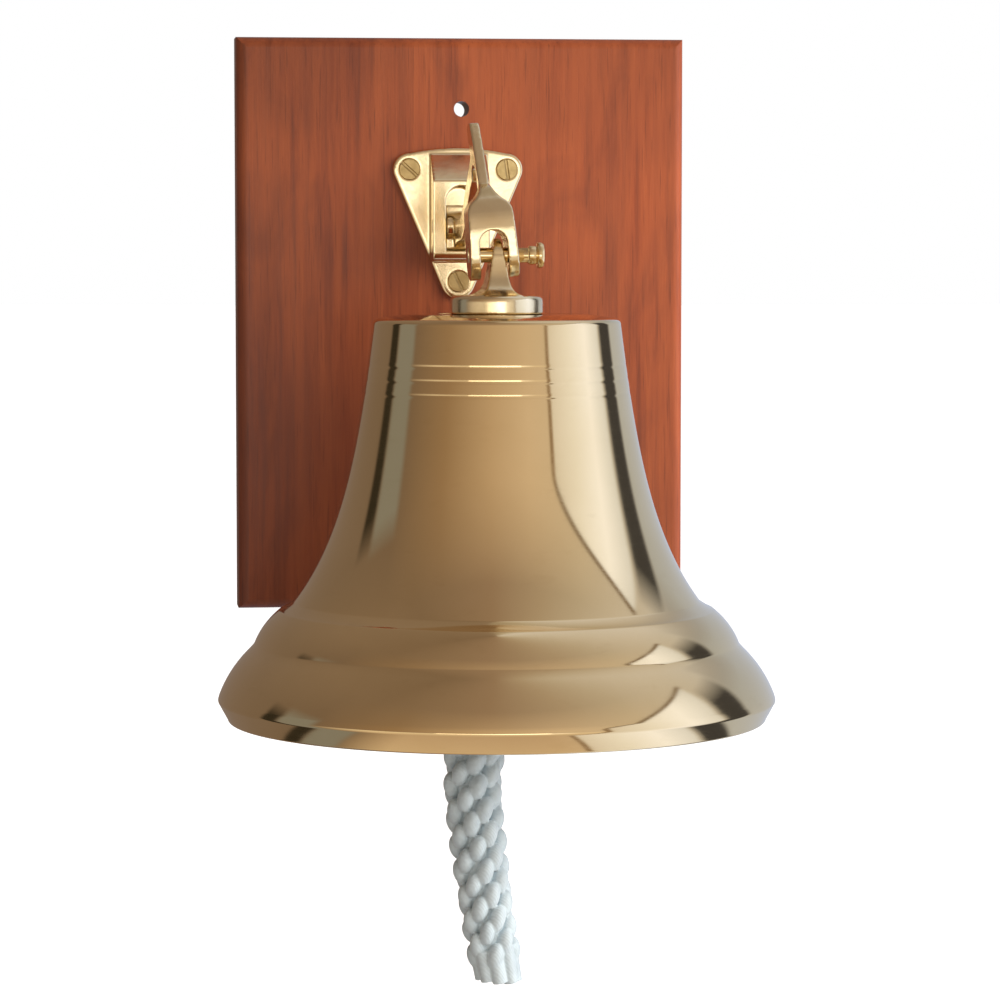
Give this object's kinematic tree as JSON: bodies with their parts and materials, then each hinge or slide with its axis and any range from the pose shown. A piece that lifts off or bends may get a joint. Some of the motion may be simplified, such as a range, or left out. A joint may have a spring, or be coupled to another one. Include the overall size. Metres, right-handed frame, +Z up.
{
  "type": "wall bell",
  "caption": "Brass ship's bell on a forked bracket and a wooden wall plaque, with a clapper inside and a short plaited cord lanyard.",
  "frame": {"origin": "middle of the plaque's back face, which lies on the wall", "axes": "+Z up, +Y into the wall, +X to the right as seen from the front; the bell hangs towards -Y"},
  "size_m": [0.2, 0.241, 0.3484],
  "materials": {
    "board": "satin varnish, reddish mahogany",
    "cast_brass": "polished cast brass",
    "turned_brass": "lathe-turned and polished brass",
    "screw_brass": "dull brass",
    "inner_brass": "unpolished brass",
    "fibre": "pressed fibre",
    "cord": "white plaited cord"
  },
  "bodies": {
    "bracket": {"plaque": "board", "backplate": "cast_brass", "plate_screws": "screw_brass", "arm": "cast_brass", "arm_pin": "screw_brass"},
    "bell_pin": {"bell_pin": "turned_brass"},
    "bell": {"bell": "turned_brass", "crown": "cast_brass", "crown_bolt": "inner_brass", "crown_washer": "fibre", "crown_nut": "inner_brass"},
    "link": {"clapper_link": "inner_brass"},
    "clapper": {"clapper_rod": "inner_brass", "clapper_ball": "inner_brass"},
    "lanyard": {"lanyard_loop": "cord", "lanyard": "cord"}
  },
  "joints": [
    {"name": "bell_swing", "type": "hinge", "parent": "bracket", "child": "bell", "pos_m": [0, -0.141, 0.027], "axis": [1, 0, 0], "range_deg": [-40, 8]},
    {"name": "pin_turn", "type": "hinge", "parent": "bracket", "child": "bell_pin", "pos_m": [0, -0.141, 0.027], "axis": [1, 0, 0], "range_deg": [0, 180]},
    {"name": "clapper_fore_aft", "type": "hinge", "parent": "bell", "child": "link", "pos_m": [0, -0.141, -0.0221], "axis": [1, 0, 0], "range_deg": [-30, 30]},
    {"name": "clapper_sideways", "type": "hinge", "parent": "link", "child": "clapper", "pos_m": [0, -0.141, -0.0339], "axis": [0, 1, 0], "range_deg": [-15, 15]},
    {"name": "lanyard_swing", "type": "hinge", "parent": "clapper", "child": "lanyard", "pos_m": [0, -0.141, -0.1326], "axis": [-1, 0, 0], "range_deg": [-45, 45]}
  ]
}
